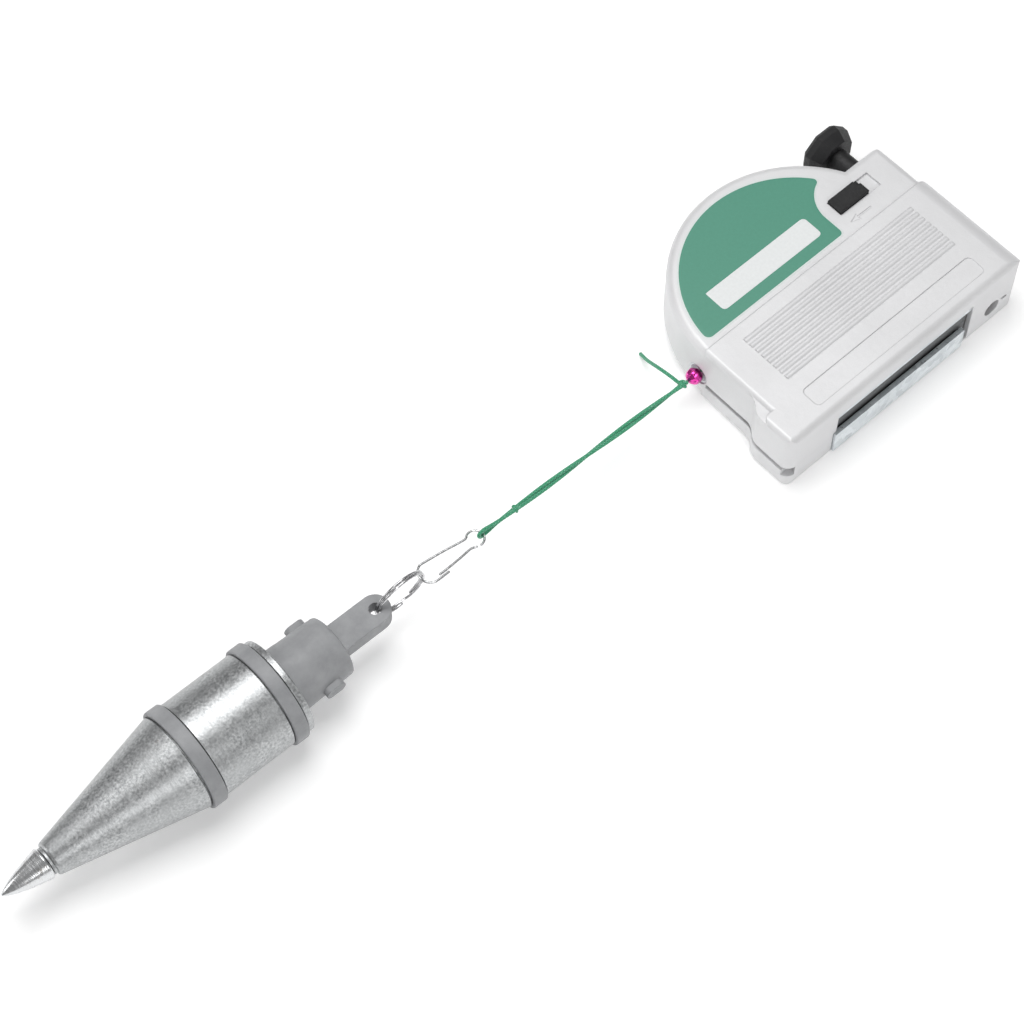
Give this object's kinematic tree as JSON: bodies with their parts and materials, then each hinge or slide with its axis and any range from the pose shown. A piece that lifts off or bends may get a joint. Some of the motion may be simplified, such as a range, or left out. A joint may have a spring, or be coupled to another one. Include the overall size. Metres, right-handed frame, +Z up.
{
  "type": "plumb line reel with plumb bob",
  "caption": "Silver magnetic plumb line reel with a lock button, push pin plunger, green leader cord, bead, snap clip, split ring and a turned steel plumb bob.",
  "frame": {"origin": "centre of the footprint on the table, under the box of the reel and the bob together", "axes": "+Z up from the table the tool lies on, +X along the drawn line from the bob's point towards the reel, +Y from the reel's magnet side towards its round top"},
  "size_m": [0.4046, 0.0947, 0.0374],
  "materials": {
    "case_paint": "satin silver paint, finely speckled",
    "decal_green": "printed film with a pale border",
    "label_white": "blank printed panel",
    "pole_zinc": "blue-white zinc plating with spangle",
    "magnet_dark": "dull charcoal ferrite",
    "bright_metal": "plated steel",
    "brass_part": "plain turned brass",
    "black_plastic": "fine moulded texture",
    "drum_plastic": "plain moulded",
    "spring_steel": "blued spring steel",
    "cord_green": "tight green braid",
    "bead_pink": "glossy metallic magenta, wrinkled",
    "clip_white": "bright nickel wire",
    "ring_nickel": "polished nickel",
    "bob_zinc": "zinc plated turned steel, speckled",
    "tip_steel": "polished hard steel",
    "grey_plastic": "dull grey moulded plastic"
  },
  "bodies": {
    "case": {"front_shell": "case_paint", "rear_shell": "case_paint", "decal": "decal_green", "label_plate": "label_white", "front_pole_plate": "pole_zinc", "rear_pole_plate": "pole_zinc", "magnet": "magnet_dark", "exit_eyelet": "bright_metal", "case_screws": "bright_metal", "drum_axle": "bright_metal", "pin_bush": "brass_part", "plunger_sleeve": "black_plastic", "line_run": "cord_green", "return_spring": "spring_steel", "axle_clip": "spring_steel"},
    "drum": {"line_drum": "drum_plastic", "spring_cover": "bright_metal", "wound_line": "cord_green", "power_spring": "spring_steel"},
    "lock": {"lock_slider": "black_plastic", "brake_shoe": "black_plastic"},
    "plunger": {"plunger_knob": "black_plastic", "plunger_shaft": "black_plastic", "pin_carrier": "black_plastic", "steel_pin": "tip_steel"},
    "leader": {"stop_bead": "bead_pink", "end_knot": "cord_green", "leader_line": "cord_green", "mid_knot": "cord_green", "line_tail": "cord_green"},
    "clip": {"clip_wire": "clip_white"},
    "gate": {"clip_gate": "clip_white"},
    "ring": {"split_ring": "ring_nickel"},
    "bob": {"bob_body": "bob_zinc", "bob_tip": "tip_steel", "lower_band": "grey_plastic", "upper_band": "grey_plastic", "bob_cap": "grey_plastic", "cap_stud": "bright_metal"}
  },
  "joints": [
    {"name": "line_pull", "type": "slide", "parent": "case", "child": "leader", "axis": [-1, 0, 0], "range_m": [0, 3], "stiffness_N_per_m": 0.5, "springref_m": -3, "deforming": ["line_run"]},
    {"name": "drum_spin", "type": "hinge", "parent": "case", "child": "drum", "pos_m": [0.13995, 0.00065, 0.0125], "axis": [0, 0, 1], "continuous": true},
    {"name": "lock_slide", "type": "slide", "parent": "case", "child": "lock", "axis": [1, 0, 0], "range_m": [0, 0.0055]},
    {"name": "plunger_press", "type": "slide", "parent": "case", "child": "plunger", "axis": [0, -1, 0], "range_m": [0, 0.01], "stiffness_N_per_m": 400, "springref_m": -0.004, "deforming": ["return_spring"]},
    {"name": "clip_swing", "type": "hinge", "parent": "leader", "child": "clip", "pos_m": [-0.01015, 0.00305, 0.0172], "axis": [0, 0, 1], "range_deg": [-60, 60]},
    {"name": "gate_bend", "type": "hinge", "parent": "clip", "child": "gate", "pos_m": [-0.01145, 0.0001, 0.0173], "axis": [0, 0, 1], "range_deg": [-9, 0], "stiffness_Nm_per_rad": 0.002, "springref_deg": 5.73},
    {"name": "ring_swing", "type": "hinge", "parent": "clip", "child": "ring", "pos_m": [-0.03415, 0.00325, 0.01912], "axis": [0, 1, 0], "range_deg": [-60, 60]},
    {"name": "bob_swing", "type": "hinge", "parent": "ring", "child": "bob", "pos_m": [-0.05309, 0.00367, 0.0187], "axis": [0, 0, 1], "range_deg": [-60, 60]}
  ],
  "couplings": [
    {"joint": "drum_spin", "follows": "line_pull", "rad_per_m": 45.455}
  ]
}
